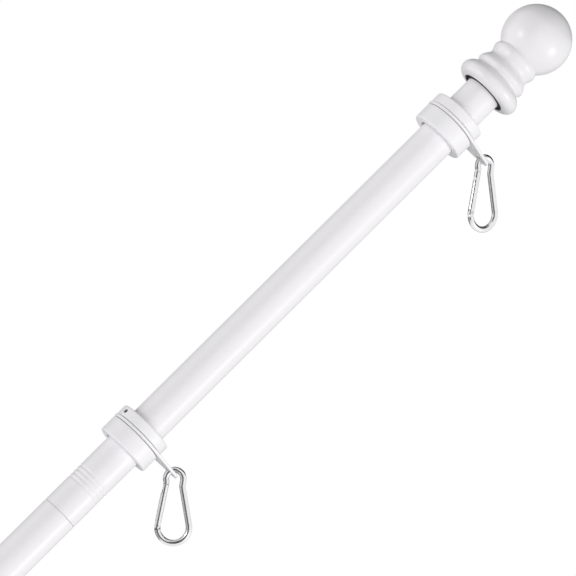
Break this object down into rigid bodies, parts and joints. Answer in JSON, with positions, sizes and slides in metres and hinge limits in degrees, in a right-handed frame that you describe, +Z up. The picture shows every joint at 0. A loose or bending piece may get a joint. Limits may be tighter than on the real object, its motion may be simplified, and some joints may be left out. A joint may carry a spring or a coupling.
{
  "type": "house-mount flagpole",
  "caption": "Leaning white sectional tube flagpole with a turned ball finial, swivel rings held by set screws, and steel snap hooks for a flag.",
  "frame": {"origin": "centre of the pole's lower end face", "axes": "+Z up; the pole leans 45 degrees from the vertical toward +X, in the XZ plane; +Y points away from a viewer who sees its top at the right"},
  "size_m": [1.3615, 0.0462, 1.3615],
  "materials": {
    "tube": "satin white coating",
    "finial": "gloss",
    "bushing": "matte",
    "ring": "satin white coating",
    "set_screw": "satin",
    "hook": "polished",
    "gate": "polished",
    "rivet": "satin"
  },
  "bodies": {
    "pole": {"section_1": "tube", "section_2": "tube", "section_3": "tube", "section_4": "tube", "section_5": "tube", "finial": "finial", "finial_bushing": "bushing"},
    "upper_ring": {"upper_collar": "ring", "upper_retaining_ring": "ring", "upper_clamp_screw": "set_screw", "upper_lock_screw": "set_screw"},
    "upper_tab": {"upper_swivel_tab": "ring"},
    "upper_hook": {"upper_hook_body": "hook", "upper_hook_rivet": "rivet"},
    "upper_gate": {"upper_hook_gate": "gate"},
    "lower_ring": {"lower_collar": "ring", "lower_retaining_ring": "ring", "lower_clamp_screw": "set_screw", "lower_lock_screw": "set_screw"},
    "lower_tab": {"lower_swivel_tab": "ring"},
    "lower_hook": {"lower_hook_body": "hook", "lower_hook_rivet": "rivet"},
    "lower_gate": {"lower_hook_gate": "gate"}
  },
  "joints": [
    {"name": "upper_ring_slide", "type": "slide", "parent": "pole", "child": "upper_ring", "axis": [0.7071, 0, 0.7071], "range_m": [-0.1, 0.015]},
    {"name": "upper_tab_swivel", "type": "hinge", "parent": "upper_ring", "child": "upper_tab", "pos_m": [1.26437, 0.00035, 1.26523], "axis": [0.7071, 0, 0.7071], "continuous": true},
    {"name": "upper_hook_swing", "type": "hinge", "parent": "upper_tab", "child": "upper_hook", "pos_m": [1.29879, 0.00303, 1.24763], "axis": [-0.3256, 0.9455, 0], "range_deg": [-128, 55]},
    {"name": "upper_gate_hinge", "type": "hinge", "parent": "upper_hook", "child": "upper_gate", "pos_m": [1.28937, -0.00021, 1.2175], "axis": [-0.3256, 0.9455, 0], "range_deg": [0, 15], "stiffness_Nm_per_rad": 0.05, "springref_deg": -34.38},
    {"name": "lower_ring_slide", "type": "slide", "parent": "pole", "child": "lower_ring", "axis": [0.7071, 0, 0.7071], "range_m": [-1.3, 0.05]},
    {"name": "lower_tab_swivel", "type": "hinge", "parent": "lower_ring", "child": "lower_tab", "pos_m": [1.06322, 0.00068, 1.06348], "axis": [0.7071, 0, 0.7071], "continuous": true},
    {"name": "lower_hook_swing", "type": "hinge", "parent": "lower_tab", "child": "lower_hook", "pos_m": [1.09766, -0.00138, 1.04585], "axis": [0.2924, 0.9563, 0], "range_deg": [-128, 55]},
    {"name": "lower_gate_hinge", "type": "hinge", "parent": "lower_hook", "child": "lower_gate", "pos_m": [1.08813, 0.00154, 1.01572], "axis": [0.2924, 0.9563, 0], "range_deg": [0, 15], "stiffness_Nm_per_rad": 0.05, "springref_deg": -34.38}
  ]
}
